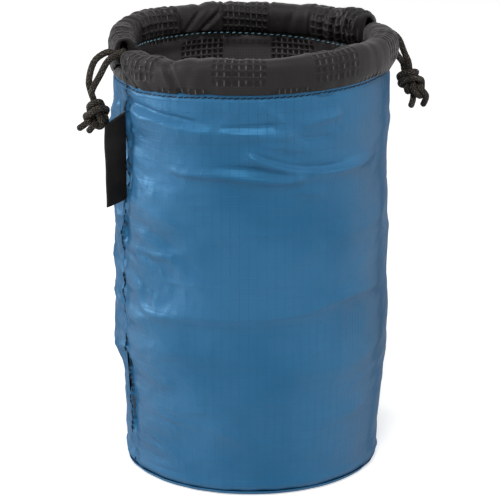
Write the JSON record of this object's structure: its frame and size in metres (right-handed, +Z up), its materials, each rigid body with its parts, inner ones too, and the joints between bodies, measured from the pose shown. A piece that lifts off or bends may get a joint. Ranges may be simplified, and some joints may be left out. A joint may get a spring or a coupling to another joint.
{
  "type": "lens pouch",
  "caption": "Round padded pouch for a camera lens: ripstop sleeve on a flat base, dark patterned lining and a drawstring collar with knotted pull cords.",
  "frame": {"origin": "centre of the outside of the base, on the surface that the pouch stands on", "axes": "+Z up along the pouch's axis, towards the mouth; -X towards the side seam, the folded tab and the left cord's exit; +X towards the right cord's exit; -Y towards the front collar"},
  "size_m": [0.1554, 0.1168, 0.1829],
  "materials": {
    "ripstop": "light blue-grey nylon ripstop with a soft sheen",
    "lining": "dark grey nylon, plain squares and embossed waffle squares in a checkerboard",
    "foam": "closed-cell foam wadding",
    "cord": "braided polyester cord",
    "satin": "woven black satin tape, bare"
  },
  "bodies": {
    "pouch": {"outer_sleeve": "ripstop", "outer_base": "ripstop", "wall_padding": "foam", "base_padding": "foam", "lining_sleeve": "lining", "lining_base": "lining"},
    "front_mouth": {"front_collar": "lining", "left_cord_front_run": "cord", "right_cord_front_run": "cord"},
    "back_mouth": {"back_collar": "lining", "left_cord_back_run": "cord", "right_cord_back_run": "cord"},
    "left_cord": {"left_cord_front_strand": "cord", "left_cord_back_strand": "cord"},
    "left_knot": {"left_knot_front_cord": "cord", "left_knot_back_cord": "cord"},
    "right_cord": {"right_cord_front_strand": "cord", "right_cord_back_strand": "cord"},
    "right_knot": {"right_knot_front_cord": "cord", "right_knot_back_cord": "cord"},
    "tab": {"side_tab": "satin"}
  },
  "joints": [
    {"name": "mouth_front", "type": "slide", "parent": "pouch", "child": "front_mouth", "axis": [0, 1, 0], "range_m": [0, 0.05], "deforming": ["front_collar", "left_cord_front_run", "right_cord_front_run"]},
    {"name": "mouth_back", "type": "slide", "parent": "pouch", "child": "back_mouth", "axis": [0, -1, 0], "range_m": [0, 0.0501], "deforming": ["back_collar", "left_cord_back_run", "right_cord_back_run"]},
    {"name": "left_cord_swing", "type": "hinge", "parent": "pouch", "child": "left_cord", "pos_m": [-0.05305, 0, 0.17675], "axis": [0, 1, 0], "range_deg": [0, 100]},
    {"name": "left_cord_pull", "type": "slide", "parent": "left_cord", "child": "left_knot", "axis": [-0.5582, 0, -0.8297], "range_m": [0, 0.0605], "deforming": ["left_cord_front_strand", "left_cord_back_strand"]},
    {"name": "right_cord_swing", "type": "hinge", "parent": "pouch", "child": "right_cord", "pos_m": [0.05305, 0, 0.17675], "axis": [0, -1, 0], "range_deg": [0, 100]},
    {"name": "right_cord_pull", "type": "slide", "parent": "right_cord", "child": "right_knot", "axis": [0.659, 0, -0.7522], "range_m": [0, 0.0605], "deforming": ["right_cord_front_strand", "right_cord_back_strand"]},
    {"name": "tab_flap", "type": "hinge", "parent": "pouch", "child": "tab", "pos_m": [-0.05737, -0.00509, 0.1348], "axis": [0, 0, 1], "range_deg": [-70, 70], "stiffness_Nm_per_rad": 0.0005}
  ],
  "couplings": [
    {"joint": "mouth_back", "follows": "mouth_front", "ratio": 1},
    {"joint": "left_cord_pull", "follows": "mouth_front", "ratio": 1.2},
    {"joint": "right_cord_pull", "follows": "mouth_front", "ratio": 1.2}
  ]
}
